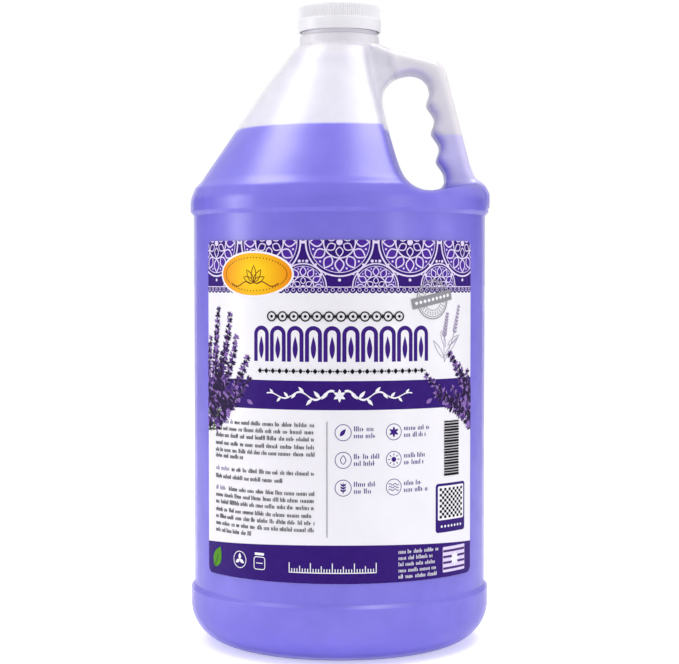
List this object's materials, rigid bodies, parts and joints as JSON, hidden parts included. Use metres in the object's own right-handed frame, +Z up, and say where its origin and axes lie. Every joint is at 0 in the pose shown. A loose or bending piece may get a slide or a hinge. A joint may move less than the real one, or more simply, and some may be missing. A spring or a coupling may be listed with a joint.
{
  "type": "oil jug",
  "caption": "Round translucent jug with a hollow finger-grip handle, ribbed screw cap, sealing liner, wrap-around front label and its fill of oil.",
  "frame": {"origin": "on the jug's turning axis, in the plane that its foot stands on", "axes": "+Z up along the turning axis, +X through the handle, the label faces -Y"},
  "size_m": [0.1488, 0.1488, 0.3171],
  "materials": {
    "jug": "satin",
    "oil": "gloss",
    "label": "gloss",
    "liner": "matte",
    "cap": "satin"
  },
  "bodies": {
    "jug_body": {"jug": "jug", "oil": "oil", "label": "label"},
    "seal": {"liner": "liner"},
    "closure": {"cap": "cap"}
  },
  "joints": [
    {"name": "cap_lift", "type": "slide", "parent": "jug_body", "child": "seal", "axis": [0, 0, 1], "range_m": [0, 0.01313]},
    {"name": "cap_turn", "type": "hinge", "parent": "seal", "child": "closure", "pos_m": [0, 0, 0.31], "axis": [0, 0, 1], "range_deg": [0, 1116]}
  ],
  "couplings": [
    {"joint": "cap_lift", "follows": "cap_turn", "m_per_rad": 0.00067373}
  ]
}
